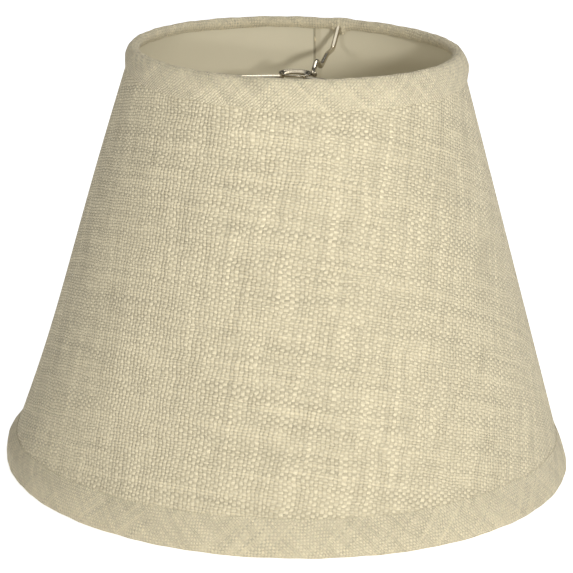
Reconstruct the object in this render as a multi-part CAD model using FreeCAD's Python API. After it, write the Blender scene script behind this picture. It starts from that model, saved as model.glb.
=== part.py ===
# A hardback lamp shade: cloth on a stiff lining, rolled into a cone, lapped at one seam and
# held open by a wire ring at each edge. The top ring carries a three-armed spider whose
# washer sits on a lamp's harp, and a tape of the same cloth is rolled over both edges.
# Millimetres, +Z up along the shade's axis, origin at the centre of the edge it stands on.
import FreeCAD, Part
import math
import os

Vector = FreeCAD.Vector
ORIGIN = Vector(0, 0, 0)
AXIS = Vector(0, 0, 1)

# Rings: hard-drawn wire, sizes over the wire
bottom_ring_diameter = 352.4
top_ring_diameter = 199.8
ring_spacing = 261.0             # height from one ring's centre to the other's
ring_wire = 3.2

# Wall: cloth laminated to the lining, closed by a lap glued over double-sided tape
liner_thickness = 0.4
cover_thickness = 0.7
seam_tape_thickness = 0.15
seam_azimuth = 83.4              # degrees from +X towards +Y, to the covered end
seam_lap = 12.0                  # measured round the bottom edge
seam_clearance = 0.3             # slit left between the covered end and the step beside it

# Trim: a folded tape over each edge, pulled round the ring and tucked in behind it
top_trim_reach = 18.0            # down the outside, from the wall's cut edge
bottom_trim_reach = 22.0
trim_thickness = 1.2             # round the ring
trim_hem_thickness = 1.4         # at the folded hem, outside
trim_crown_thickness = 2.2       # where it swells before it turns over the edge
trim_crown_start = 6.0           # distance of that swelling from the wall's edge
trim_shoulder = 2.9              # radius of the turn over the edge
trim_tuck_reach = 7.2            # up the inside, from the wall's cut edge
trim_tuck_thickness = 0.6
trim_crease = 0.5                # from the ring up to where the tape meets the lining
trim_lap_margin = 3.0            # how far the tape takes to rise over the seam's lap
rest_flat_depth = 0.3            # how far the cloth of the standing edge is pressed flat

# Spider: three arms from the top ring to a dished washer
arm_wire = 3.2
arm_bend_radius = 5.0
arm_leg_inset = 15.0             # from the ring's centre line in to the foot of the sloping leg
arm_leg_drop = 12.4              # from the ring's centre line down to that foot
left_arm_azimuth = 203.5
front_right_arm_azimuth = 317.0
rear_arm_azimuth = 73.5
arm_weld_depth = 0.25
arm_end_gap = 0.5                # from the washer's flat seat to the ends of the two arms under it
rear_arm_side_run = 12.5         # the run that lies beside the washer
rear_arm_side_start = 9.0        # how far behind the washer's centre that run starts
rear_arm_side_skew = 0.75        # how far that run turns outwards
rear_arm_kinks = [(50.0, 3.0), (26.5, -2.7), (11.1, 4.4)]   # distance from that run, and height

# Washer
washer_diameter = 20.6
washer_hole_diameter = 11.1      # clears the 7/16 in shoulder of a harp's finial stud
washer_seat_diameter = 15.0
washer_flange_start_diameter = 17.0
washer_thickness = 1.2
washer_dish = 1.2                # depth of the seat below the flange
washer_drop = 13.7               # from the ring's centre line down to the flange's top

# Worked out from those sizes
ring_wire_radius = ring_wire / 2
arm_wire_radius = arm_wire / 2
roll_radius = ring_wire_radius + trim_thickness
wall_thickness = liner_thickness + cover_thickness
lap_rise = wall_thickness + seam_tape_thickness
bottom_ring_radius = bottom_ring_diameter / 2 - ring_wire_radius
top_ring_radius = top_ring_diameter / 2 - ring_wire_radius
bottom_ring_z = roll_radius - rest_flat_depth
top_ring_z = bottom_ring_z + ring_spacing
wall_slope = math.atan2(bottom_ring_radius - top_ring_radius, ring_spacing)
flange_top_z = top_ring_z - washer_drop
flange_bottom_z = flange_top_z - washer_thickness


def wall_point(edge, along, out):
    """A section point, `along` the wall from its cut edge and `out` from its inner face."""
    if edge == "bottom":
        ring_radius, ring_z, direction = bottom_ring_radius, bottom_ring_z, 1
    else:
        ring_radius, ring_z, direction = top_ring_radius, top_ring_z, -1
    up_wall = direction * (along - ring_wire_radius)
    off_ring = out + ring_wire_radius
    radius = ring_radius - up_wall * math.sin(wall_slope) + off_ring * math.cos(wall_slope)
    height = ring_z + up_wall * math.cos(wall_slope) + off_ring * math.sin(wall_slope)
    return Vector(radius, 0, height)


def on_azimuth(radius, azimuth, height):
    """A point at that radius and height, turned from +X towards +Y."""
    angle = math.radians(azimuth)
    return Vector(radius * math.cos(angle), radius * math.sin(angle), height)


def revolved(section, start, sweep):
    """The closed section in the XZ plane, swept round the axis from one azimuth."""
    solid = Part.Face(section).revolve(ORIGIN, AXIS, sweep)
    solid.rotate(ORIGIN, AXIS, start)
    return solid


def layer(inner, outer, start, sweep):
    """Part of the conical wall between two distances from the lining's inner face."""
    corners = [
        wall_point("bottom", 0, inner),
        wall_point("bottom", 0, outer),
        wall_point("top", 0, outer),
        wall_point("top", 0, inner),
    ]
    return revolved(Part.makePolygon(corners + corners[:1]), start, sweep)


# Angles of the seam, widest at the small end for the two steps so that neither wall thins
top_edge_radius = wall_point("top", 0, 0).x
bottom_edge_radius = wall_point("bottom", 0, 0).x
lap_angle = math.degrees(seam_lap / bottom_edge_radius)
gap_angle = math.degrees(seam_clearance / top_edge_radius)
liner_step_angle = math.degrees(liner_thickness / top_edge_radius)
cover_step_angle = math.degrees(cover_thickness / top_edge_radius)
margin_angle = math.degrees(trim_lap_margin / bottom_edge_radius)
liner_step_start = seam_azimuth - gap_angle - liner_step_angle
cover_step_start = liner_step_start - cover_step_angle
lap_end = seam_azimuth + lap_angle


def lapped_sheet(inner, outer, step_start, step_angle):
    """One full turn of a sheet, a step outwards, and the flap that laps over its start."""
    turn = layer(inner, outer, seam_azimuth, step_start + step_angle + 360 - seam_azimuth)
    step = layer(inner, outer + lap_rise, step_start, step_angle)
    flap = layer(inner + lap_rise, outer + lap_rise, step_start, lap_end - step_start)
    return turn.fuse([step, flap]).removeSplitter()


def trim_section(edge, reach, lift):
    """Section of a rolled tape, with its outer side lifted clear of what lies under it."""
    hem_out = wall_thickness + lift + trim_hem_thickness
    crown_out = wall_thickness + lift + trim_crown_thickness
    shoulder_out = crown_out - trim_shoulder

    def round_ring(radius, degrees):
        angle = math.radians(degrees)
        along = ring_wire_radius + radius * math.cos(angle)
        return wall_point(edge, along, radius * math.sin(angle) - ring_wire_radius)

    start = wall_point(edge, reach, wall_thickness)
    hem_nose = wall_point(edge, reach + trim_hem_thickness / 2, (wall_thickness + hem_out) / 2)
    hem_top = wall_point(edge, reach, hem_out)
    crown = wall_point(edge, trim_crown_start, crown_out)
    turn_start = wall_point(edge, ring_wire_radius, crown_out)
    turn_middle = wall_point(
        edge,
        ring_wire_radius - trim_shoulder * math.sin(math.pi / 4),
        shoulder_out + trim_shoulder * math.cos(math.pi / 4),
    )
    turn_end = wall_point(edge, ring_wire_radius - trim_shoulder, shoulder_out)
    roll_start = round_ring(roll_radius, 180)
    roll_end = round_ring(roll_radius, -30)
    tuck = wall_point(edge, trim_tuck_reach, -trim_tuck_thickness)
    on_lining = wall_point(edge, trim_tuck_reach, 0)
    crease = wall_point(edge, ring_wire + trim_crease, 0)
    ring_touch = round_ring(ring_wire_radius, 30)
    ring_edge = round_ring(ring_wire_radius, 180)
    edges = [
        Part.Arc(start, hem_nose, hem_top).toShape(),
        Part.makeLine(hem_top, crown),
        Part.makeLine(crown, turn_start),
        Part.Arc(turn_start, turn_middle, turn_end).toShape(),
        Part.makeLine(turn_end, roll_start),
        Part.Arc(roll_start, round_ring(roll_radius, -105), roll_end).toShape(),
        Part.makeLine(roll_end, tuck),
        Part.makeLine(tuck, on_lining),
        Part.makeLine(on_lining, crease),
        Part.makeLine(crease, ring_touch),
        Part.Arc(ring_touch, round_ring(ring_wire_radius, -75), ring_edge).toShape(),
        Part.makeLine(ring_edge, wall_point(edge, 0, wall_thickness)),
        Part.makeLine(wall_point(edge, 0, wall_thickness), start),
    ]
    return Part.Wire(edges)


def trim(edge, reach, covered):
    """A rolled tape all round one edge, less the pieces that it covers."""
    tape = revolved(trim_section(edge, reach, 0), 0, 360)
    raised_start = cover_step_start - margin_angle
    raised_sweep = lap_end + margin_angle - raised_start
    raised = revolved(trim_section(edge, reach, lap_rise), raised_start, raised_sweep)
    return tape.fuse(raised).cut(covered)


def bent_wire(points, bend_radius, wire_radius):
    """Round wire along straight runs joined by tangent arcs of one radius."""
    edges = []
    run_start = points[0]
    for corner, following in zip(points[1:-1], points[2:]):
        back = (run_start - corner).normalize()
        ahead = (following - corner).normalize()
        half_angle = back.getAngle(ahead) / 2
        setback = bend_radius / math.tan(half_angle)
        reach = bend_radius / math.sin(half_angle) - bend_radius
        arc_start = corner + back * setback
        arc_middle = corner + (back + ahead).normalize() * reach
        arc_end = corner + ahead * setback
        edges.append(Part.makeLine(run_start, arc_start))
        edges.append(Part.Arc(arc_start, arc_middle, arc_end).toShape())
        run_start = arc_end
    edges.append(Part.makeLine(run_start, points[-1]))
    section = Part.Wire(Part.makeCircle(wire_radius, points[0], points[1] - points[0]))
    return Part.Wire(edges).makePipeShell([section], True, False)


def arm_leg(azimuth):
    """The sloping leg of an arm: its start in the top ring and its foot."""
    foot = on_azimuth(top_ring_radius - arm_leg_inset, azimuth, top_ring_z - arm_leg_drop)
    return [on_azimuth(top_ring_radius, azimuth, top_ring_z), foot]


def radial_arm(azimuth):
    """An arm that runs straight in and is welded under the washer's flange."""
    end_radius = washer_seat_diameter / 2 + arm_end_gap
    end_z = flange_bottom_z - arm_wire_radius + arm_weld_depth
    points = arm_leg(azimuth) + [on_azimuth(end_radius, azimuth, end_z)]
    return bent_wire(points, arm_bend_radius, arm_wire_radius)


def side_arm(azimuth):
    """The kinked rear arm, welded along the washer's edge at its +X side."""
    weld_x = washer_diameter / 2 + arm_wire_radius - arm_weld_depth
    run_z = (flange_top_z + flange_bottom_z) / 2
    side_start = Vector(weld_x - rear_arm_side_skew * 2 / 3, rear_arm_side_start, run_z)
    side_end = side_start + Vector(rear_arm_side_skew, -rear_arm_side_run, 0)
    leg = arm_leg(azimuth)
    outward = Vector(leg[1].x - side_start.x, leg[1].y - side_start.y, 0).normalize()
    kinks = [side_start + outward * away + AXIS * height for away, height in rear_arm_kinks]
    return bent_wire(leg + kinks + [side_start, side_end], arm_bend_radius, arm_wire_radius)


def dished_washer():
    """A pressed washer: a flat seat round the hole, and a flange raised round the seat."""
    hole_radius = washer_hole_diameter / 2
    top_line = [
        Vector(hole_radius, 0, flange_top_z - washer_dish),
        Vector(washer_seat_diameter / 2, 0, flange_top_z - washer_dish),
        Vector(washer_flange_start_diameter / 2, 0, flange_top_z),
        Vector(washer_diameter / 2, 0, flange_top_z),
    ]
    bottom_line = [point - AXIS * washer_thickness for point in reversed(top_line)]
    return revolved(Part.makePolygon(top_line + bottom_line + top_line[:1]), 0, 360)


def below_the_rest_plane():
    """Everything under the plane that the shade stands on."""
    width = 2 * bottom_ring_diameter
    return Part.makeBox(width, width, roll_radius, Vector(-width / 2, -width / 2, -roll_radius))


nodes = {}
nodes["liner"] = lapped_sheet(0, liner_thickness, liner_step_start, liner_step_angle)
nodes["fabric_cover"] = lapped_sheet(
    liner_thickness, wall_thickness, cover_step_start, cover_step_angle
)
nodes["seam_tape"] = layer(wall_thickness, lap_rise, seam_azimuth, lap_angle)
nodes["bottom_ring"] = Part.makeTorus(
    bottom_ring_radius, ring_wire_radius, Vector(0, 0, bottom_ring_z)
)
nodes["top_ring"] = Part.makeTorus(top_ring_radius, ring_wire_radius, Vector(0, 0, top_ring_z))
nodes["fitter_washer"] = dished_washer()

arm_seats = [nodes["top_ring"], nodes["fitter_washer"]]
nodes["spider_arm_left"] = radial_arm(left_arm_azimuth).cut(arm_seats)
nodes["spider_arm_front_right"] = radial_arm(front_right_arm_azimuth).cut(arm_seats)
nodes["spider_arm_rear"] = side_arm(rear_arm_azimuth).cut(arm_seats)

wall = [nodes["liner"], nodes["fabric_cover"], nodes["seam_tape"]]
arms = [nodes[name] for name in nodes if name.startswith("spider_arm")]
nodes["top_trim"] = trim("top", top_trim_reach, wall + arms)
nodes["bottom_trim"] = trim("bottom", bottom_trim_reach, wall + [below_the_rest_plane()])

os.makedirs("parts", exist_ok=True)
for name, shape in nodes.items():
    shape.exportStep(f"parts/{name}.step")
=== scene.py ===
# A hardback lamp shade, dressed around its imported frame: the stiff lining and the cloth laid on
# it, the wire rings, the spider with its washer, and the cloth tapes rolled over both edges.
# Metres, +Z up along the shade's axis, origin at the centre of the edge it stands on.
import math

import bpy
import numpy as np
from mathutils import Matrix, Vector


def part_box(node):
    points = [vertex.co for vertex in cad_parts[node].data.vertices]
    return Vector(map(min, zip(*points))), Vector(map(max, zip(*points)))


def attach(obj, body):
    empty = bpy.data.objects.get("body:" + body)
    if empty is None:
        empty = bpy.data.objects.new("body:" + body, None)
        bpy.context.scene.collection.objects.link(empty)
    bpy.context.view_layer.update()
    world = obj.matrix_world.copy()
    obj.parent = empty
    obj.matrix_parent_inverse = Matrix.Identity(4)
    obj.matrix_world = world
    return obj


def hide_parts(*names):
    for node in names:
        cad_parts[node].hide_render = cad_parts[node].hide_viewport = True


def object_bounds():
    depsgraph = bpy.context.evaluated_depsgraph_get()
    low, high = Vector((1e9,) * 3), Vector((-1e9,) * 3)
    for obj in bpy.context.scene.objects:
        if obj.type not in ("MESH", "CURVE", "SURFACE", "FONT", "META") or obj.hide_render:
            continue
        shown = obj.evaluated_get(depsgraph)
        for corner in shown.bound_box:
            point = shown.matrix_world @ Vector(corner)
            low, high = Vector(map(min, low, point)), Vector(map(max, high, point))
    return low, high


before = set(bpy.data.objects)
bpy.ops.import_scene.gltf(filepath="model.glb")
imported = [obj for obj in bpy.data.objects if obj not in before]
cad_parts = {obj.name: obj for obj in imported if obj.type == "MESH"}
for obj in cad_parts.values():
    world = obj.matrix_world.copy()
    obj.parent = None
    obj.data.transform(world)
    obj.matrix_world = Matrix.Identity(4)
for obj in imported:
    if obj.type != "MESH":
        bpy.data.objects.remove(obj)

cad_low, cad_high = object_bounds()
MM = 0.001

# ---------------------------------------------------------------------------------------------
# Lining: a sheet of off-white styrene 0.4 mm thick, cut as part of a ring and rolled into a
# cone. Its ends lap at the back, where the outer ply steps out over the covered one and is
# glued down. The cloth is laminated to its outside.
liner_thickness = 0.4 * MM
cover_thickness = 0.7 * MM
seam_tape_thickness = 0.15 * MM
wall_thickness = liner_thickness + cover_thickness
lap_rise = wall_thickness + seam_tape_thickness
seam_azimuth = math.radians(83.4)     # where the covered end stops
seam_lap = 12.0 * MM                  # measured round the lower edge
joggle = 5.0 * MM                     # length over which the upper ply climbs onto the lap
grain_azimuth = math.radians(245)     # where the cloth's threads lie level and upright
dent_azimuth = math.radians(176)      # middle of the shallow hollow on the left
dent_half_width = 0.55                # radians to either side, where it has fallen to 1/e
dent_depth = 2.6                      # millimetres

ring_low, ring_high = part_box("bottom_ring")
ring_wire_radius = (ring_high.z - ring_low.z) / 2
bottom_ring_z = (ring_high.z + ring_low.z) / 2
bottom_ring_radius = ring_high.x - ring_wire_radius
ring_low, ring_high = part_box("top_ring")
top_ring_z = (ring_high.z + ring_low.z) / 2
top_ring_radius = ring_high.x - ring_wire_radius

wall_slope = math.atan2(bottom_ring_radius - top_ring_radius, top_ring_z - bottom_ring_z)
lean_sin, lean_cos = math.sin(wall_slope), math.cos(wall_slope)
foot_radius = bottom_ring_radius + ring_wire_radius * (lean_sin + lean_cos)
foot_height = bottom_ring_z + ring_wire_radius * (lean_sin - lean_cos)
ring_gap = math.hypot(bottom_ring_radius - top_ring_radius, top_ring_z - bottom_ring_z)
wall_length = ring_gap + 2 * ring_wire_radius
head_radius = foot_radius - wall_length * lean_sin
lap_angle = seam_lap / foot_radius


def on_wall(azimuth, along, out):
    """Points of the cone: `along` its slope from the lower inner corner, then `out` square to
    the slope, then turned round the axis to the azimuth. Whole arrays of any one shape."""
    radius = foot_radius - along * lean_sin + out * lean_cos
    height = foot_height + along * lean_cos + out * lean_sin
    return np.stack([radius * np.cos(azimuth), radius * np.sin(azimuth), height], axis=-1)


def lap_lift(azimuth):
    """How far a rolled sheet has climbed onto its own start: nothing for most of the turn,
    then a half cosine wave up to the lap's rise, ending where the covered end begins."""
    reach = joggle / head_radius
    step = np.clip((azimuth - seam_azimuth - math.tau + reach) / reach, 0, 1)
    return lap_rise * (0.5 - 0.5 * np.cos(np.pi * step))


def slack(azimuth, along):
    """Unevenness of the rolled wall, in metres: three long waves round it, and one shallow
    hollow low on the left side, all fading to nothing at both edges, where the rings hold it."""
    held = np.sin(np.pi * np.clip(along / wall_length, 0, 1)) ** 0.7
    waves = (
        0.11 * np.sin(5 * azimuth + 0.9)
        + 0.08 * np.sin(11 * azimuth + 2.1 + 9 * along)
        + 0.05 * np.sin(23 * azimuth + 0.4 - 14 * along)
    )
    sunk = dent_depth * np.exp(-(((azimuth % math.tau - dent_azimuth) / dent_half_width) ** 2))
    from_top = 1 - np.clip(along / wall_length, 0, 1)
    return MM * (held * waves - np.sin(np.pi * from_top**1.8) ** 1.5 * sunk)


def faces_to_piece(name, points, faces):
    """A smooth-shaded piece at the origin from an array of points and one of four-sided faces,
    with its edges sharp where two faces meet at more than 40 degrees."""
    mesh = bpy.data.meshes.new(name)
    mesh.vertices.add(len(points))
    mesh.vertices.foreach_set("co", points.astype(np.float32).ravel())
    mesh.loops.add(faces.size)
    mesh.loops.foreach_set("vertex_index", faces.astype(np.int32).ravel())
    mesh.polygons.add(len(faces))
    mesh.polygons.foreach_set("loop_start", np.arange(0, faces.size, 4, dtype=np.int32))
    mesh.polygons.foreach_set("use_smooth", np.ones(len(faces), dtype=bool))
    mesh.update(calc_edges=True)
    mesh.validate()
    mesh.set_sharp_from_angle(angle=math.radians(40))
    piece = bpy.data.objects.new(name, mesh)
    bpy.context.scene.collection.objects.link(piece)
    return piece


def solid_sheet(name, outer, inner, flat_places):
    """A closed thin sheet: the outer grid of points, the inner grid turned over, and a strip
    round their shared edge. The map holds each point's place on the flat cut, in metres."""
    rows, columns = outer.shape[:2]
    count = rows * columns
    index = np.arange(count).reshape(rows, columns)
    front = np.stack(
        [index[:-1, :-1], index[:-1, 1:], index[1:, 1:], index[1:, :-1]], axis=-1
    ).reshape(-1, 4)
    rim = np.concatenate([index[0], index[1:, -1], index[-1, -2::-1], index[-2:0:-1, 0]])
    following = np.roll(rim, -1)
    strip = np.stack([following, rim, rim + count, following + count], axis=-1)
    faces = np.concatenate([front, front[:, ::-1] + count, strip])
    piece = faces_to_piece(name, np.concatenate([outer, inner]).reshape(-1, 3), faces)
    places = np.tile(flat_places.reshape(-1, 2), (2, 1))[faces.ravel()]
    piece.data.uv_layers.new(name="FlatCut").uv.foreach_set(
        "vector", places.astype(np.float32).ravel()
    )
    return piece


def rolled_ply(name, inside, outside, columns, rows):
    """One ply of the wall between two distances from the lining's inner face, rolled once
    round and lapped. Its flat places are those of the cone laid flat: the distance from the
    cone's tip, and the azimuth shrunk by the sine of the slope."""
    turn = np.linspace(seam_azimuth, seam_azimuth + math.tau + lap_angle, columns)
    near_seam = seam_azimuth + math.tau + np.linspace(-1.1, 0.3, 40) * joggle / head_radius
    azimuth, along = np.meshgrid(
        np.unique(np.concatenate([turn, near_seam])), np.linspace(0, wall_length, rows)
    )
    out = lap_lift(azimuth) + slack(azimuth, along)
    to_tip = foot_radius / lean_sin - along
    opened = (azimuth - grain_azimuth) * lean_sin
    places = np.stack([to_tip * np.sin(opened), -to_tip * np.cos(opened)], axis=-1)
    outer = on_wall(azimuth, along, outside + out)
    return solid_sheet(name, outer, on_wall(azimuth, along, inside + out), places)


def node_value(tree, operation, *values):
    """A Math node of that operation on the values, each a number or another node's output."""
    node = tree.nodes.new("ShaderNodeMath")
    node.operation = operation
    for socket, value in zip(node.inputs, values):
        if isinstance(value, (int, float)):
            socket.default_value = value
        else:
            tree.links.new(value, socket)
    return node.outputs[0]


def node_vector(tree, x=0.0, y=0.0, z=0.0):
    """A Combine XYZ node of three values, each a number or another node's output."""
    node = tree.nodes.new("ShaderNodeCombineXYZ")
    for socket, value in zip(node.inputs, (x, y, z)):
        if isinstance(value, (int, float)):
            socket.default_value = value
        else:
            tree.links.new(value, socket)
    return node.outputs[0]


def node_noise(tree, place, scale, detail=2.0, roughness=0.5):
    """A Noise Texture's value, from 0 to 1 about 0.5, at that place and scale."""
    node = tree.nodes.new("ShaderNodeTexNoise")
    node.inputs["Scale"].default_value = scale
    node.inputs["Detail"].default_value = detail
    node.inputs["Roughness"].default_value = roughness
    tree.links.new(place, node.inputs["Vector"])
    return node.outputs["Fac"]


def node_range(tree, value, low, high, new_low, new_high, smooth=False):
    """A Map Range node that takes low..high to new_low..new_high and stops at the ends."""
    node = tree.nodes.new("ShaderNodeMapRange")
    if smooth:
        node.interpolation_type = "SMOOTHSTEP"
    tree.links.new(value, node.inputs["Value"])
    node.inputs["From Min"].default_value = low
    node.inputs["From Max"].default_value = high
    node.inputs["To Min"].default_value = new_low
    node.inputs["To Max"].default_value = new_high
    return node.outputs["Result"]


def node_mix(tree, factor, first, second, blend="MIX"):
    """A colour Mix node. The factor and the colours are constants or other nodes' outputs. The
    node's sockets for its factor, two colours and result are numbers 0, 6, 7 and 2."""
    node = tree.nodes.new("ShaderNodeMix")
    node.data_type = "RGBA"
    node.blend_type = blend
    for number, value in ((0, factor), (6, first), (7, second)):
        if isinstance(value, (int, float)):
            node.inputs[number].default_value = value
        elif isinstance(value, tuple):
            node.inputs[number].default_value = (*value, 1.0)
        else:
            tree.links.new(value, node.inputs[number])
    return node.outputs[2]


def new_finish(name):
    """An empty material with nodes, and its Principled BSDF."""
    material = bpy.data.materials.new(name)
    material.use_nodes = True
    return material, material.node_tree, material.node_tree.nodes["Principled BSDF"]


def add_bump(tree, shader, height, distance, strength):
    """Feeds a height into the shader's normal through a Bump node."""
    bump = tree.nodes.new("ShaderNodeBump")
    bump.inputs["Distance"].default_value = distance
    bump.inputs["Strength"].default_value = strength
    tree.links.new(height, bump.inputs["Height"])
    tree.links.new(bump.outputs["Normal"], shader.inputs["Normal"])


def new_group(name, inputs, outputs):
    """A shader node group with these (kind, name, value) inputs and (kind, name) outputs."""
    group = bpy.data.node_groups.new(name, "ShaderNodeTree")
    for kind, label, value in inputs:
        socket = group.interface.new_socket(name=label, in_out="INPUT", socket_type=kind)
        if value is not None:
            socket.default_value = value
    for kind, label in outputs:
        group.interface.new_socket(name=label, in_out="OUTPUT", socket_type=kind)
    given = group.nodes.new("NodeGroupInput").outputs
    return group, given, group.nodes.new("NodeGroupOutput").inputs


def place_group(tree, group, **values):
    """That group in a material, with its inputs set; an underscore stands for a space."""
    node = tree.nodes.new("ShaderNodeGroup")
    node.node_tree = group
    for label, value in values.items():
        socket = node.inputs[label.replace("_", " ")]
        if isinstance(value, bpy.types.NodeSocket):
            tree.links.new(value, socket)
        else:
            socket.default_value = value
    return node.outputs


def dust_group():
    """Soft grime: a slow mottle and fine specks, as a mask from 0, clean, to 1."""
    group, given, result = new_group(
        "settled_dust",
        [("NodeSocketVector", "Place", None), ("NodeSocketFloat", "Amount", 0.3)],
        [("NodeSocketFloat", "Mask")],
    )
    mottle = node_range(group, node_noise(group, given["Place"], 22.0, 4.0, 0.6), 0.45, 0.75, 0, 1)
    specks = node_range(group, node_noise(group, given["Place"], 900.0, 1.0), 0.68, 0.76, 0, 1)
    both = node_value(group, "MAXIMUM", mottle, specks)
    group.links.new(node_value(group, "MULTIPLY", both, given["Amount"]), result["Mask"])
    return group


settled_dust = dust_group()


styrene_colour = (0.700, 0.640, 0.475)
dusty_styrene_colour = (0.520, 0.455, 0.315)
# The dark line where the lap begins is painted shadow of the lap's step, together with the cut edge's
# own dark.
cut_edge_shadow_colour = (0.20, 0.165, 0.10)
cut_shadow_line_core = 0.3 * MM / head_radius    # half of the dark line's width, as an angle
cut_shadow_line_edge = 0.9 * MM / head_radius    # where it has faded out


def liner_finish():
    """Satin styrene: off-white, with the faint ripple of the laminating roller, some dust, and
    a dark line where the lap begins: painted shadow of the lap's step, with the cut edge's own dark."""
    material, tree, shader = new_finish("liner_styrene")
    place = tree.nodes.new("ShaderNodeTexCoord").outputs["Object"]
    dust = place_group(tree, settled_dust, Place=place, Amount=0.10)["Mask"]
    spread = tree.nodes.new("ShaderNodeSeparateXYZ")
    tree.links.new(place, spread.inputs[0])
    azimuth = node_value(tree, "ARCTAN2", spread.outputs["Y"], spread.outputs["X"])
    from_cut = node_value(tree, "ABSOLUTE", node_value(tree, "SUBTRACT", azimuth, seam_azimuth))
    # A dark line painted at the covered end: painted shadow of the lap's step, with the cut edge's
    # own dark.
    cut_shadow_line = node_range(tree, from_cut, cut_shadow_line_core, cut_shadow_line_edge, 0.6, 0)
    styrene = node_mix(tree, dust, styrene_colour, dusty_styrene_colour)
    colour = node_mix(tree, cut_shadow_line, styrene, cut_edge_shadow_colour)
    tree.links.new(colour, shader.inputs["Base Color"])
    tree.links.new(node_range(tree, dust, 0.0, 0.2, 0.42, 0.58), shader.inputs["Roughness"])
    ripple = node_noise(tree, place, 55.0, 3.0)
    add_bump(tree, shader, ripple, 0.25 * MM, 0.35)
    return material


liner = rolled_ply("liner_sheet", 0.0, liner_thickness, 480, 24)
liner.data.materials.append(liner_finish())
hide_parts("liner")
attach(liner, "root")

# ---------------------------------------------------------------------------------------------
# Cover: one ply of coarse natural linen in plain weave, laminated to the lining while flat and
# rolled with it, so the threads are straight on the flat cut and turn slowly round the cone.
warp_spacing = 2.52 * MM
weft_spacing = 1.78 * MM
warp_colour = (0.790, 0.701, 0.488)
# The weft is painted darker than the warp as shade, for lying lower under it:
shaded_weft_colour = (0.655, 0.573, 0.386)
# Painted shade in the hollows between the threads, where the weave lies low:
hollow_shade_colour = (0.550, 0.472, 0.308)
cover_relief = 0.72 * MM              # depth of the weave, as the light shows it
thread_bend = 2.4                     # range of the slow noise that moves threads, in threads
# How much each of these adds to a thread's height, where 1 is about the cloth's thickness:
wave_rise, ridge_rise, fibre_rise, slub_rise = 0.62, 0.9, 0.25, 0.45
fibre_shade = 0.06                    # how much fibres and slubs vary a thread's brightness


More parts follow.
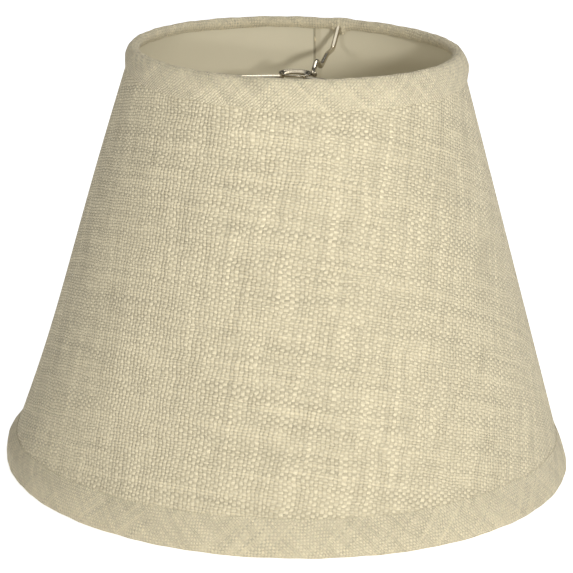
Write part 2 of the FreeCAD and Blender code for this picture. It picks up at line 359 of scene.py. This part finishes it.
def weave_group():
    """Plain weave from a place on the flat cloth. Each thread is a rounded ridge one spacing
    wide, which rises and sinks as a sine along its length, in step with its neighbours but one.
    The higher of warp and weft is seen. Slow noise bends the threads, and noise drawn out
    along them gives their slubs, streaks and fibres. In patches one set of threads stands
    prouder, or the cloth is looser and more of its hollows are painted dark. The low places
    between the threads take a darker colour as painted shade."""
    group, given, result = new_group(
        "plain_weave",
        [
            ("NodeSocketVector", "Place", None),
            ("NodeSocketVector", "Threads Per Metre", (1 / warp_spacing, 1 / weft_spacing, 0)),
            ("NodeSocketColor", "Warp Colour", (*warp_colour, 1)),
            ("NodeSocketColor", "Weft Colour", (*shaded_weft_colour, 1)),
            ("NodeSocketColor", "Hollow Colour", (*hollow_shade_colour, 1)),
        ],
        [
            ("NodeSocketColor", "Colour"),
            ("NodeSocketFloat", "Height"),
            ("NodeSocketFloat", "Roughness"),
        ],
    )

    def value(operation, *values):
        return node_value(group, operation, *values)

    counted = group.nodes.new("ShaderNodeVectorMath")
    counted.operation = "MULTIPLY"
    group.links.new(given["Place"], counted.inputs[0])
    group.links.new(given["Threads Per Metre"], counted.inputs[1])
    straight = group.nodes.new("ShaderNodeSeparateXYZ")
    group.links.new(counted.outputs[0], straight.inputs[0])

    warp_count, weft_count = straight.outputs["X"], straight.outputs["Y"]

    def noise_along(across, across_scale, along, along_scale, seed, detail=3.0, roughness=0.6):
        """Noise drawn out along the threads: its own scale across them and along them."""
        across = value("MULTIPLY", across, across_scale)
        along = value("MULTIPLY", along, along_scale)
        return node_noise(group, node_vector(group, across, along, seed), 1.0, detail, roughness)

    def bent(across, seed):
        """The count across the threads, moved aside by slow noise."""
        place = node_vector(group, warp_count, weft_count, seed)
        drift = value("SUBTRACT", node_noise(group, place, 0.13, 4.0, 0.6), 0.5)
        return value("ADD", across, value("MULTIPLY", drift, thread_bend))

    across_warp = bent(warp_count, 3.7)
    across_weft = bent(weft_count, 41.3)

    def threads(across, along, seed, sense, lift, streaks):
        """Height and brightness of one set of threads, numbered across and running along. They
        ride high by the lift, and slow streaks along them vary their brightness."""
        number = value("FLOOR", across)
        offset = value("SUBTRACT", value("FRACT", across), 0.5)
        slub = noise_along(number, 7.31, along, 0.055, seed, 2.0, 0.5)
        half_width = node_range(group, slub, 0.3, 0.72, 0.40, 0.60)
        spread = value("DIVIDE", offset, half_width)
        below_top = value("SUBTRACT", 1.0, value("MULTIPLY", spread, spread))
        ridge = value("SQRT", value("MAXIMUM", below_top, 0.0))
        parity = value("COSINE", value("MULTIPLY", number, math.pi))
        swing = value("SINE", value("MULTIPLY", along, math.pi))
        wave = value("MULTIPLY", value("MULTIPLY", parity, swing), sense)
        fibre = noise_along(across, 5.0, along, 0.6, seed + 9)
        streak = noise_along(across, 0.45, along, 0.022, seed + 21, 3.0, 0.65)
        ridge = value("MULTIPLY_ADD", ridge, ridge_rise, lift - ridge_rise / 2)
        height = value("ADD", value("MULTIPLY", wave, wave_rise), ridge)
        for noise, rise in ((fibre, fibre_rise), (slub, slub_rise)):
            height = value("ADD", height, value("MULTIPLY", value("SUBTRACT", noise, 0.5), rise))
        bright = node_range(group, streak, 0.33, 0.67, -streaks, streaks)
        for noise in (fibre, slub):
            shade = node_range(group, noise, 0.3, 0.7, -fibre_shade, fibre_shade)
            bright = value("ADD", bright, shade)
        return height, value("ADD", bright, 1.0)

    warp_height, warp_bright = threads(
        across_warp, across_weft, seed=0.0, sense=1.0, lift=0.16, streaks=0.12
    )
    weft_height, weft_bright = threads(
        across_weft, across_warp, seed=57.0, sense=-1.0, lift=-0.16, streaks=0.20
    )
    height = value("MAXIMUM", warp_height, weft_height)
    spot = node_vector(group, warp_count, weft_count, 77.0)
    favour = node_range(group, node_noise(group, spot, 0.11, 3.0, 0.6), 0.33, 0.67, -0.13, 0.13)
    loose = node_range(group, node_noise(group, spot, 0.17, 3.0, 0.6), 0.35, 0.65, 0.40, -0.30)
    lead = value("SUBTRACT", value("SUBTRACT", warp_height, weft_height), favour)
    warp_seen = node_range(group, lead, -0.2, 0.2, 0, 1)

    def lit(colour, bright):
        """A thread's colour times its brightness."""
        grey = node_vector(group, bright, bright, bright)
        return node_mix(group, 1.0, colour, grey, "MULTIPLY")

    weft_lit = lit(given["Weft Colour"], weft_bright)
    warp_lit = lit(given["Warp Colour"], warp_bright)
    threads_colour = node_mix(group, warp_seen, weft_lit, warp_lit)
    # Painted shade: where the weave is low, the colour darkens to the hollow shade colour, more so
    # where the cloth is looser.
    raised = node_range(group, value("ADD", height, loose), -0.35, 0.45, 0, 1, smooth=True)
    colour = node_mix(group, raised, given["Hollow Colour"], threads_colour)
    group.links.new(colour, result["Colour"])
    group.links.new(height, result["Height"])
    group.links.new(node_range(group, height, -0.3, 0.9, 0.95, 0.78), result["Roughness"])
    return group


plain_weave = weave_group()


def cloth_finish(name, turned, relief, **colours):
    """The linen, with its threads turned from the flat cut's own directions by that angle, and
    its weave that deep."""
    material, tree, shader = new_finish(name)
    flat_cut = tree.nodes.new("ShaderNodeUVMap")
    flat_cut.uv_map = "FlatCut"
    grain = tree.nodes.new("ShaderNodeMapping")
    grain.inputs["Rotation"].default_value = (0, 0, turned)
    tree.links.new(flat_cut.outputs["UV"], grain.inputs["Vector"])
    weave = place_group(tree, plain_weave, Place=grain.outputs["Vector"], **colours)
    tree.links.new(weave["Colour"], shader.inputs["Base Color"])
    tree.links.new(weave["Roughness"], shader.inputs["Roughness"])
    shader.inputs["Specular IOR Level"].default_value = 0.25
    shader.inputs["Sheen Weight"].default_value = 0.12
    shader.inputs["Sheen Roughness"].default_value = 0.5
    add_bump(tree, shader, weave["Height"], relief, 1.0)
    return material


cover = rolled_ply("linen_cover", liner_thickness, wall_thickness, 720, 36)
cover.data.materials.append(cloth_finish("cover_linen", 0.0, cover_relief))
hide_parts("fabric_cover")
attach(cover, "root")

# ---------------------------------------------------------------------------------------------
# Seam tape: double-sided adhesive tape 0.15 mm thick that holds the lap shut for its height.
# The frame's own solid is right, and only its edges can be seen.


def adhesive_finish():
    """Milky acrylic adhesive with fine bubbles."""
    material, tree, shader = new_finish("seam_adhesive")
    place = tree.nodes.new("ShaderNodeTexCoord").outputs["Object"]
    bubbles = node_range(tree, node_noise(tree, place, 700.0, 2.0), 0.4, 0.7, 0, 1)
    colour = node_mix(tree, bubbles, (0.74, 0.72, 0.64), (0.60, 0.56, 0.46))
    tree.links.new(colour, shader.inputs["Base Color"])
    tree.links.new(node_range(tree, bubbles, 0, 1, 0.3, 0.5), shader.inputs["Roughness"])
    add_bump(tree, shader, bubbles, 0.05 * MM, 0.3)
    return material


seam_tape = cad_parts["seam_tape"]
seam_tape.data.materials.clear()
seam_tape.data.materials.append(adhesive_finish())

# ---------------------------------------------------------------------------------------------
# Spider and washer: three arms of hard 3.2 mm wire, butt-welded to the top ring and bent down
# and in to a dished washer that sits on the lamp's harp. Two arms are welded under its flange
# and the rear one, kinked to take up its length, beside it. All bright nickel plated.
washer_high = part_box("fitter_washer")[1]
washer_radius = washer_high.x
flange_top_z = washer_high.z
washer_thickness = 1.2 * MM
washer_dish = 1.2 * MM
washer_hole_radius = 5.55 * MM
washer_seat_radius = 7.5 * MM
washer_flange_start = 8.5 * MM
flange_bottom_z = flange_top_z - washer_thickness
arm_wire_radius = 1.6 * MM
leg_inset = 15.0 * MM
leg_drop = 12.4 * MM
weld_depth = 0.25 * MM
arm_bend = 4.5 * MM                   # how far before a corner the wire starts to turn
rear_arm_bend = 4.2 * MM
rear_leg_extra_drop = 2.0 * MM        # the rear leg's foot hangs lower than the others'
rear_kinks = ((50.0, 0.8), (26.5, -2.7), (11.1, 4.4))  # (out from the washer, up), millimetres
cut_end_round = 0.3 * MM
left_arm_azimuth, front_right_arm_azimuth, rear_arm_azimuth = np.radians((203.5, 317.0, 73.5))


def on_azimuth(radius, azimuth, height):
    """The point at that radius and height, turned round the axis to the azimuth."""
    return np.array([radius * math.cos(azimuth), radius * math.sin(azimuth), height])


def bent_line(corners, setback, steps):
    """Straight runs through the corners, each corner replaced by a quadratic curve that leaves
    the runs at the setback, then divided into equal steps of length."""
    corners = np.array(corners)
    turn = np.linspace(0, 1, 14)[None, :, None]
    middle = corners[1:-1]
    back, ahead = corners[:-2] - middle, corners[2:] - middle
    start = middle + back / np.linalg.norm(back, axis=1, keepdims=True) * setback
    end = middle + ahead / np.linalg.norm(ahead, axis=1, keepdims=True) * setback
    bends = (
        (1 - turn) ** 2 * start[:, None]
        + 2 * turn * (1 - turn) * middle[:, None]
        + turn**2 * end[:, None]
    )
    line = np.concatenate([corners[:1], bends.reshape(-1, 3), corners[-1:]])
    reached = np.concatenate([[0], np.cumsum(np.linalg.norm(np.diff(line, axis=0), axis=1))])
    wanted = np.linspace(0, reached[-1], steps)
    return np.stack([np.interp(wanted, reached, line[:, k]) for k in range(3)], axis=-1)


def round_bar(line, radius, around=20):
    """Points and faces of a closed bar: circles square to the line at each of its points, of
    one radius or an array of them, and a flat end across the first and the last."""
    ahead = np.gradient(line, axis=0)
    ahead /= np.linalg.norm(ahead, axis=1, keepdims=True)
    side = np.cross(ahead, (0.0, 0.0, 1.0))
    side /= np.linalg.norm(side, axis=1, keepdims=True)
    above = np.cross(side, ahead)
    angle = np.linspace(0, math.tau, around, endpoint=False)[None, :, None]
    radius = np.broadcast_to(radius, len(line))[:, None, None]
    points = line[:, None] + radius * (np.cos(angle) * side[:, None] + np.sin(angle) * above[:, None])
    index = np.arange(len(line) * around).reshape(len(line), around)
    beside = np.roll(index, -1, axis=1)
    wall = np.stack([index[:-1], index[1:], beside[1:], beside[:-1]], axis=-1).reshape(-1, 4)
    k = np.arange(around // 2 - 1)
    disc = np.stack([k, k + 1, around - 2 - k, around - 1 - k], axis=-1)
    last = disc[:, ::-1] + index[-1, 0]
    return points.reshape(-1, 3), np.concatenate([wall, disc, last])


def joined(*parts):
    """Several (points, faces) as one, each later part's faces counted on from the last."""
    starts = np.cumsum([0] + [len(points) for points, faces in parts[:-1]])
    return (
        np.concatenate([points for points, faces in parts]),
        np.concatenate([faces + start for (points, faces), start in zip(parts, starts)]),
    )


def cut_wire(line):
    """A round wire with its cut ends just broken: the radius falls there in a quarter circle,
    and hardly varies between, as drawn wire does."""
    reached = np.concatenate([[0], np.cumsum(np.linalg.norm(np.diff(line, axis=0), axis=1))])
    to_end = np.minimum(reached, reached[-1] - reached)
    broken = cut_end_round * (1 - np.sqrt(1 - (1 - np.clip(to_end / cut_end_round, 0, 1)) ** 2))
    drawn = 1 + 0.006 * np.sin(reached / MM * 0.9) + 0.004 * np.sin(reached / MM * 2.3)
    return round_bar(line, arm_wire_radius * drawn - broken, 24)


def weld_bead(start, end, radius):
    """A short run of weld: a bar that swells from both ends, rippled once a millimetre."""
    line = np.linspace(start, end, 28)
    along = np.linspace(0, 1, 28)
    ripple = 1 + 0.12 * np.sin(along * np.linalg.norm(end - start) / MM * math.tau)
    return round_bar(line, radius * ripple * (0.3 + 0.7 * np.sin(np.pi * along) ** 0.5), 16)


def arm_leg(azimuth):
    """The sloping leg: its start on the top ring's centre line, and its foot."""
    foot = on_azimuth(top_ring_radius - leg_inset, azimuth, top_ring_z - leg_drop)
    return [on_azimuth(top_ring_radius, azimuth, top_ring_z), foot]


def radial_arm(azimuth):
    """A straight arm, with a bead each side of it under the washer's flange."""
    end_radius = washer_seat_radius + 0.5 * MM
    end_z = flange_bottom_z - arm_wire_radius + weld_depth
    bead_z = flange_bottom_z - 0.35 * MM
    line = bent_line(arm_leg(azimuth) + [on_azimuth(end_radius, azimuth, end_z)], arm_bend, 150)
    parts = [cut_wire(line)]
    for side in (-1, 1):
        across = on_azimuth(side * 1.15 * MM, azimuth + math.pi / 2, 0)
        bead_start = on_azimuth(end_radius + 0.2 * MM, azimuth, bead_z) + across
        bead_end = on_azimuth(washer_radius + 0.5 * MM, azimuth, bead_z) + across
        parts.append(weld_bead(bead_start, bead_end, 0.75 * MM))
    return joined(*parts)


def rear_arm():
    """The kinked arm: the leg, three kinks, and the run welded along the washer's +X edge,
    with a bead above and below."""
    run_z = (flange_top_z + flange_bottom_z) / 2
    weld_x = washer_radius + arm_wire_radius - weld_depth
    start = np.array([weld_x - 0.5 * MM, 9.0 * MM, run_z])
    end = start + np.array([0.75, -12.5, 0]) * MM
    leg = arm_leg(rear_arm_azimuth)
    leg[1] = leg[1] - np.array([0, 0, rear_leg_extra_drop])
    outward = (leg[1] - start) * (1, 1, 0)
    outward /= np.linalg.norm(outward)
    kinks = [
        start + outward * away * MM + np.array([0, 0, height * MM])
        for away, height in rear_kinks
    ]
    parts = [cut_wire(bent_line(leg + kinks + [start, end], rear_arm_bend, 220))]
    for height in (0.75 * MM, -0.75 * MM):
        back = np.array([washer_radius + 0.2 * MM, 3.4 * MM, run_z + height])
        front = np.array([washer_radius + 0.2 * MM, -2.6 * MM, run_z + height])
        parts.append(weld_bead(back, front, 0.85 * MM))
    return joined(*parts)


def pressed_washer():
    """Points and faces of the washer: its dished section, with corners rounded by the press,
    turned once round the axis."""
    top = [
        (washer_hole_radius, flange_top_z - washer_dish),
        (washer_seat_radius, flange_top_z - washer_dish),
        (washer_flange_start, flange_top_z),
        (washer_radius, flange_top_z),
    ]
    under = [(radius, height - washer_thickness) for radius, height in reversed(top)]
    corners = [(radius, 0.0, height) for radius, height in top + under]
    middle = (np.array(corners[0]) + np.array(corners[-1])) / 2
    section = bent_line([middle, *corners, middle], 0.28 * MM, 97)[:-1]
    azimuth = np.linspace(0, math.tau, 128, endpoint=False)[:, None]
    dent = 0.05 * MM * np.sin(3 * azimuth + 0.8)
    points = np.stack(
        [section[:, 0] * np.cos(azimuth), section[:, 0] * np.sin(azimuth), section[:, 2] + dent],
        axis=-1,
    )
    index = np.arange(128 * 96).reshape(128, 96)
    turned, after = np.roll(index, -1, axis=0), np.roll(index, -1, axis=1)
    faces = np.stack([index, turned, np.roll(turned, -1, axis=1), after], axis=-1)
    return points.reshape(-1, 3), faces.reshape(-1, 4)[:, ::-1]


def metal_group():
    """Handled bright metal: fine drawn scratches, cloudy patches where the plating is duller,
    and more of that dull tint round the welds, 8 to 18 mm from the axis."""
    group, given, result = new_group(
        "handled_plate",
        [
            ("NodeSocketVector", "Place", None),
            ("NodeSocketColor", "Plate", (0.47, 0.42, 0.32, 1)),
            ("NodeSocketColor", "Tarnish", (0.17, 0.14, 0.10, 1)),
            ("NodeSocketFloat", "Shine", 0.16),
        ],
        [
            ("NodeSocketColor", "Colour"),
            ("NodeSocketFloat", "Roughness"),
            ("NodeSocketFloat", "Height"),
        ],
    )
    clouds = node_range(group, node_noise(group, given["Place"], 130.0, 4.0, 0.6), 0.42, 0.72, 0, 1)
    scratches = node_noise(group, given["Place"], 2600.0, 2.0, 0.7)
    spread = group.nodes.new("ShaderNodeSeparateXYZ")
    group.links.new(given["Place"], spread.inputs[0])
    squares = [node_value(group, "MULTIPLY", spread.outputs[k], spread.outputs[k]) for k in "XY"]
    from_axis = node_value(group, "SQRT", node_value(group, "ADD", *squares))
    heated = node_range(group, from_axis, 8 * MM, 18 * MM, 0.75, 0.0, smooth=True)
    dulled = node_value(group, "MULTIPLY", clouds, 0.35)
    worn = node_value(group, "MAXIMUM", dulled, node_value(group, "MULTIPLY", heated, clouds))
    group.links.new(node_mix(group, worn, given["Plate"], given["Tarnish"]), result["Colour"])
    duller = node_value(group, "MULTIPLY_ADD", worn, 0.22, given["Shine"])
    rough = node_value(group, "ADD", duller, node_range(group, scratches, 0.4, 0.7, -0.03, 0.07))
    group.links.new(rough, result["Roughness"])
    height = node_value(group, "ADD", scratches, node_value(group, "MULTIPLY", clouds, 0.6))
    group.links.new(height, result["Height"])
    return group


handled_plate = metal_group()


def plated_finish(name, **values):
    """Metal with the plate group's colour, roughness and relief."""
    material, tree, shader = new_finish(name)
    place = tree.nodes.new("ShaderNodeTexCoord").outputs["Object"]
    plate = place_group(tree, handled_plate, Place=place, **values)
    tree.links.new(plate["Colour"], shader.inputs["Base Color"])
    tree.links.new(plate["Roughness"], shader.inputs["Roughness"])
    shader.inputs["Metallic"].default_value = 1.0
    add_bump(tree, shader, plate["Height"], 0.02 * MM, 0.5)
    return material


nickel = plated_finish("spider_nickel")
for name, node, parts in (
    ("arm_left", "spider_arm_left", radial_arm(left_arm_azimuth)),
    ("arm_front_right", "spider_arm_front_right", radial_arm(front_right_arm_azimuth)),
    ("arm_rear", "spider_arm_rear", rear_arm()),
    ("washer", "fitter_washer", pressed_washer()),
):
    piece = faces_to_piece(name, *parts)
    piece.data.materials.append(nickel)
    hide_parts(node)
    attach(piece, "root")

# ---------------------------------------------------------------------------------------------
# Rings: plain drawn wire, butt-welded into hoops, which hold both edges round. The tapes hide
# them, so the frame's own solids stay, with the finish of bare steel.
steel = plated_finish(
    "ring_steel", Plate=(0.52, 0.50, 0.47, 1), Tarnish=(0.25, 0.21, 0.17, 1), Shine=0.32
)
for name in ("top_ring", "bottom_ring"):
    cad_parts[name].data.materials.clear()
    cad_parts[name].data.materials.append(steel)

# ---------------------------------------------------------------------------------------------
# Trims: a tape of the same linen cut on the bias, its edges folded under, glued round each
# edge of the wall: down the outside, over the ring, and tucked up behind it. It is eased round
# the curve by hand, so its edges waver and it puckers, and at each arm it is slit and bunched.
tape_ply = 0.7 * MM
tape_lap = 11.0 * MM                  # length that the far end covers of the start
top_reach, top_tuck = 18.0, 5.6       # millimetres from the cut edge, outside and inside
bottom_reach, bottom_tuck = 22.0, 7.2
top_joint_azimuth = math.radians(69.8)
bottom_joint_azimuth = math.radians(95)
trim_relief = 0.60 * MM
trim_threads = (1 / (1.45 * MM), 1 / (1.3 * MM), 0)
# As on the cover, the weft is painted darker as shade for its lower lie, and the hollow colour is
# painted shade between the threads.
trim_warp_colour = (0.805, 0.715, 0.500, 1)
trim_shaded_weft_colour = (0.700, 0.616, 0.420, 1)
trim_hollow_shade_colour = (0.570, 0.490, 0.324, 1)


def tape_section(reach, tuck, steps):
    """Centre line of the rolled tape, as rows of (in from the cut edge, out from the lining,
    thickness, length along it): the flat outside, a quarter turn over the edge, a roll round
    the ring, and the tuck. Smoothed by a running mean over nine steps. Millimetres."""
    turn = np.linspace(0, np.pi / 2, 12)
    roll = np.radians(np.linspace(180, 282, 20))
    wire, turn_radius, roll_radius = 1.6, 2.15, 2.2
    turn_in, turn_out = wire - turn_radius * np.sin(turn), 0.4 + turn_radius * np.cos(turn)
    roll_in, roll_out = wire + roll_radius * np.cos(roll), -wire + roll_radius * np.sin(roll)
    inward = np.concatenate([[reach, 12.0, 6.0], turn_in, roll_in, [tuck]])
    outward = np.concatenate([[1.31, 1.62, 2.4], turn_out, roll_out, [-2.1]])
    reached = np.concatenate([[0], np.cumsum(np.hypot(np.diff(inward), np.diff(outward)))])
    nose = 0.5 - 0.5 * np.cos(np.pi * np.linspace(0, 1, steps))
    wanted = reached[-1] * (0.25 * nose + 0.75 * np.linspace(0, 1, steps))
    line = np.stack([np.interp(wanted, reached, inward), np.interp(wanted, reached, outward)])
    before = 2 * line[:, :1] - line[:, 4:0:-1]
    after = 2 * line[:, -1:] - line[:, -2:-6:-1]
    padded = np.concatenate([before, line, after], axis=1)
    line = np.stack([np.convolve(row, np.full(9, 1 / 9), mode="valid") for row in padded])
    stations = [0, 3, 9, 14, reached[-1] - 4, reached[-1]]
    thickness = np.interp(wanted, stations, [0.36, 0.7, 1.2, 1.2, 1.1, 1.0])
    to_end = np.minimum(wanted, reached[-1] - wanted)
    round_nose = np.sqrt(1 - (1 - np.clip(to_end / 0.45, 0, 1)) ** 2)
    return line[0], line[1], thickness * np.maximum(round_nose, 0.2), wanted


def near(azimuth, centre, half_width):
    """A bell of height 1 at an azimuth, falling to 1/e at the half width, both in radians."""
    apart = (azimuth - centre + math.pi) % math.tau - math.pi
    return np.exp(-((apart / half_width) ** 2))


def waver(azimuth, *waves):
    """Sine waves round the shade, added up: each has a height, a count round it and a phase."""
    return sum(height * np.sin(count * azimuth + phase) for height, count, phase in waves)


def rolled_tape(name, top, reach, shortfall, tuck, joint_azimuth, bulge, arms, steps, columns):
    """The tape round one edge: its section carried round the wall's edge, with the hem and the
    tuck wavering, the hem nearer the edge by `shortfall` and the outside swollen by `bulge`
    (functions of azimuth, in millimetres), puckers running slantwise over it, a slit and a
    bunch of cloth at each arm, and its far end lapped over its start."""
    radius = head_radius if top else foot_radius
    lap = tape_lap / radius
    turn = np.linspace(joint_azimuth, joint_azimuth + math.tau + lap, columns)
    fine = [turn]
    spread = np.linspace(-1, 1, 71)
    for centre in (*arms, joint_azimuth):
        placed = (centre - joint_azimuth) % math.tau + joint_azimuth
        fine.append(placed + spread * np.abs(spread) * 12 * MM / radius)
    fine.append(joint_azimuth + math.tau + np.linspace(-0.2, 1, 30) * lap)
    azimuth = np.unique(np.clip(np.concatenate(fine), turn[0], turn[-1]))[None, :]
    section = tape_section(reach, tuck, steps)
    inward, outward, thickness, length = (row[:, None] for row in section)
    share = (length - length[0]) / (length[-1] - length[0])
    hem = np.clip(1 - share * 2.2, 0, 1)
    inside = np.clip(share * 2.6 - 1.6, 0, 1)
    inward = inward - hem * shortfall(azimuth)
    hem_wave = waver(azimuth, (0.30, 7, 0.5), (0.22, 19, 1.7), (0.12, 47, 0.0))
    tuck_wave = waver(azimuth, (0.30, 9, 2.0), (0.22, 31, 0.3), (0.16, 67, 1.1))
    inward = inward + hem * hem_wave + inside * tuck_wave
    swell = np.sin(np.pi * np.clip(share / 0.55, 0, 1)) ** 1.5
    swollen = bulge(azimuth) * swell
    pucker = np.sin(58 * azimuth + 7 * share) * 0.10 + np.sin(23 * azimuth - 5 * share + 1.0) * 0.14
    swollen = swollen + pucker * np.sin(np.pi * share) + 0.12 * inside * np.sin(81 * azimuth + 3.0)
    for centre in arms:
        side = ((azimuth - centre + math.pi) % math.tau - math.pi) * radius / MM
        bunch = np.exp(-((side / 4.0) ** 4))
        slit = np.exp(-((side / 1.2) ** 2))
        inward = inward + inside**2 * (bunch * 2.4 - slit * 2.6)
        swollen = swollen + inside * bunch * (1.5 + 0.4 * np.sin(side * 1.7))
    climb = np.clip((azimuth - joint_azimuth - math.tau + 0.35 * lap) / (0.35 * lap), 0, 1)
    lift = 0.6 * tape_ply / MM * (0.5 - 0.5 * np.cos(np.pi * climb))
    ahead_in = np.gradient(inward, axis=0)
    ahead_out = np.gradient(np.broadcast_to(outward, inward.shape), axis=0)
    size = np.hypot(ahead_in, ahead_out)
    normal_in, normal_out = ahead_out / size, -ahead_in / size

    def surface(off):
        """The section moved off its centre line and set on the wall, whose slack it follows."""
        from_edge = (inward + normal_in * off) * MM
        along = wall_length - from_edge if top else from_edge
        out = (outward + normal_out * off) * MM + hem * slack(azimuth, along)
        return on_wall(np.broadcast_to(azimuth, along.shape), along, out)

    outer = surface(swollen + lift + thickness / 2)
    inner = surface(swollen * 0.85 + lift - thickness / 2)
    places = np.stack(np.broadcast_arrays(azimuth * radius, length * MM), axis=-1)
    if not top:    # it is pressed flat where the shade stands, and its rows run the other way
        outer[..., 2] = np.maximum(outer[..., 2], 0.0)
        inner[..., 2] = np.maximum(inner[..., 2], 0.25 * MM)
        outer, inner, places = outer[::-1], inner[::-1], places[::-1]
    piece = solid_sheet(name, outer, inner, places)
    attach(piece, "root")
    return piece


bias_linen = cloth_finish(
    "trim_linen",
    math.pi / 4,
    trim_relief,
    Threads_Per_Metre=trim_threads,
    Warp_Colour=trim_warp_colour,
    Weft_Colour=trim_shaded_weft_colour,
    Hollow_Colour=trim_hollow_shade_colour,
)


def top_shortfall(azimuth):
    """The top tape reaches less far down on the left, in millimetres."""
    return 4.2 * near(azimuth, math.pi, 0.75)


def top_bulge(azimuth):
    """Fuller on the right than on the left, with slow changes between, in millimetres."""
    sides = 0.3 + 1.7 * near(azimuth, 0.0, 0.8) + 0.5 * near(azimuth, math.pi, 0.6)
    return sides + 0.12 * np.sin(3 * azimuth)


def bottom_shortfall(azimuth):
    """The bottom tape's upper edge is nearly level, but dips on the left, in millimetres."""
    return 0.4 * np.sin(2 * azimuth) + 4.0 * near(azimuth, math.pi, 0.6)


def bottom_bulge(azimuth):
    """Fullest on the left, where the tape was laid on slack, in millimetres."""
    return 0.5 + 1.6 * near(azimuth, math.pi, 0.9) + 0.2 * np.sin(4 * azimuth)


top_tape = rolled_tape(
    "tape_top",
    top=True,
    reach=top_reach,
    shortfall=top_shortfall,
    tuck=top_tuck,
    joint_azimuth=top_joint_azimuth,
    bulge=top_bulge,
    arms=(rear_arm_azimuth, left_arm_azimuth, front_right_arm_azimuth),
    steps=56,
    columns=420,
)
bottom_tape = rolled_tape(
    "tape_bottom",
    top=False,
    reach=bottom_reach,
    shortfall=bottom_shortfall,
    tuck=bottom_tuck,
    joint_azimuth=bottom_joint_azimuth,
    bulge=bottom_bulge,
    arms=(),
    steps=56,
    columns=640,
)
for tape, node in ((top_tape, "top_trim"), (bottom_tape, "bottom_trim")):
    tape.data.materials.append(bias_linen)
    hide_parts(node)

# ---------------------------------------------------------------------------------------------
# Studio: a pale floor and a white surround, two small soft lamps low in front of the shade to
# either side, and a wide soft one high behind it on the right. The camera looks a little down
# from in front.
floor_reach = 6
floor_glow, floor_glow_seen = (0.31, 0.31, 0.31), (0.72, 0.72, 0.72)


def floor_finish():
    """A pale table lit from within: matt white that glows a little, and that the camera sees
    brighter, so that it meets the surround."""
    material, tree, shader = new_finish("studio_paper")
    place = tree.nodes.new("ShaderNodeTexCoord").outputs["Object"]
    shade = node_range(tree, node_noise(tree, place, 3.0, 2.0), 0.3, 0.7, 0.86, 0.90)
    tree.links.new(node_vector(tree, shade, shade, shade), shader.inputs["Base Color"])
    shader.inputs["Roughness"].default_value = 0.9
    shader.inputs["Specular IOR Level"].default_value = 0.0
    seen = tree.nodes.new("ShaderNodeLightPath").outputs["Is Camera Ray"]
    glow = node_mix(tree, seen, floor_glow, floor_glow_seen)
    tree.links.new(glow, shader.inputs["Emission Color"])
    shader.inputs["Emission Strength"].default_value = 1.0
    return material


floor_mesh = bpy.data.meshes.new("studio_floor")
corner_signs = ((-1, -1), (1, -1), (1, 1), (-1, 1))
floor_corners = [(x * floor_reach, y * floor_reach, 0) for x, y in corner_signs]
floor_mesh.from_pydata(floor_corners, [], [(0, 1, 2, 3)])
floor = bpy.data.objects.new("studio_floor", floor_mesh)
bpy.context.scene.collection.objects.link(floor)
floor_mesh.materials.append(floor_finish())

# The surround is white to the camera, dim and even to matt surfaces, and to shiny ones dark
# near the floor and bright overhead.
fill_strength = 0.34
world = bpy.data.worlds.new("studio_surround")
bpy.context.scene.world = world
world.use_nodes = True
tree = world.node_tree
surround = tree.nodes["Background"]
surround.inputs["Color"].default_value = (1, 1, 1, 1)
path = tree.nodes.new("ShaderNodeLightPath").outputs
toward = tree.nodes.new("ShaderNodeSeparateXYZ")
tree.links.new(tree.nodes.new("ShaderNodeTexCoord").outputs["Generated"], toward.inputs[0])
reflected = node_range(tree, toward.outputs["Z"], 0.42, 0.92, 0.08, 1.7, smooth=True)
extra = node_value(tree, "SUBTRACT", reflected, fill_strength)
on_surfaces = node_value(tree, "MULTIPLY_ADD", path["Is Glossy Ray"], extra, fill_strength)
strength = node_value(tree, "MAXIMUM", on_surfaces, path["Is Camera Ray"])
tree.links.new(strength, surround.inputs["Strength"])
half_height = cad_high.z / 2


def soft_lamp(name, azimuth, elevation, distance, size, power):
    """A round soft lamp that faces the shade's middle from an azimuth, in degrees from
    straight in front towards +X, and an elevation. Its size and distance are in metres and its
    power in watts."""
    light = bpy.data.lights.new(name, "AREA")
    light.shape = "DISK"
    light.size = size
    light.energy = power
    lamp = bpy.data.objects.new(name, light)
    bpy.context.scene.collection.objects.link(lamp)
    turn, tilt = math.radians(azimuth), math.radians(elevation)
    lamp.location = (
        distance * math.sin(turn) * math.cos(tilt),
        -distance * math.cos(turn) * math.cos(tilt),
        half_height + distance * math.sin(tilt),
    )
    lamp.rotation_euler = (math.pi / 2 - tilt, 0, turn)


soft_lamp("lamp_front_right", azimuth=22.0, elevation=15.7, distance=2.4, size=0.24, power=28.0)
soft_lamp("lamp_front_left", azimuth=-18.0, elevation=9.8, distance=2.4, size=0.12, power=7.0)
soft_lamp("lamp_behind", azimuth=155.0, elevation=48.0, distance=2.6, size=0.9, power=13.0)

camera_lens = 162.3                   # millimetres
camera_distance = 1.6227
camera_elevation = math.radians(15.60)
camera_swing, camera_tilt, camera_roll = 0.09, 16.322, 1.30    # degrees
camera_data = bpy.data.cameras.new("studio_camera")
camera_data.lens = camera_lens
camera_data.sensor_width = 36.0
camera = bpy.data.objects.new("studio_camera", camera_data)
bpy.context.scene.collection.objects.link(camera)
camera.location = (
    0,
    -camera_distance * math.cos(camera_elevation),
    half_height + camera_distance * math.sin(camera_elevation),
)
aim = (
    Matrix.Rotation(math.radians(camera_swing), 3, "Z")
    @ Matrix.Rotation(math.radians(90 - camera_tilt), 3, "X")
    @ Matrix.Rotation(math.radians(camera_roll), 3, "Z")
)
camera.rotation_euler = aim.to_euler()
bpy.context.scene.camera = camera
bpy.context.scene.view_settings.view_transform = "Standard"
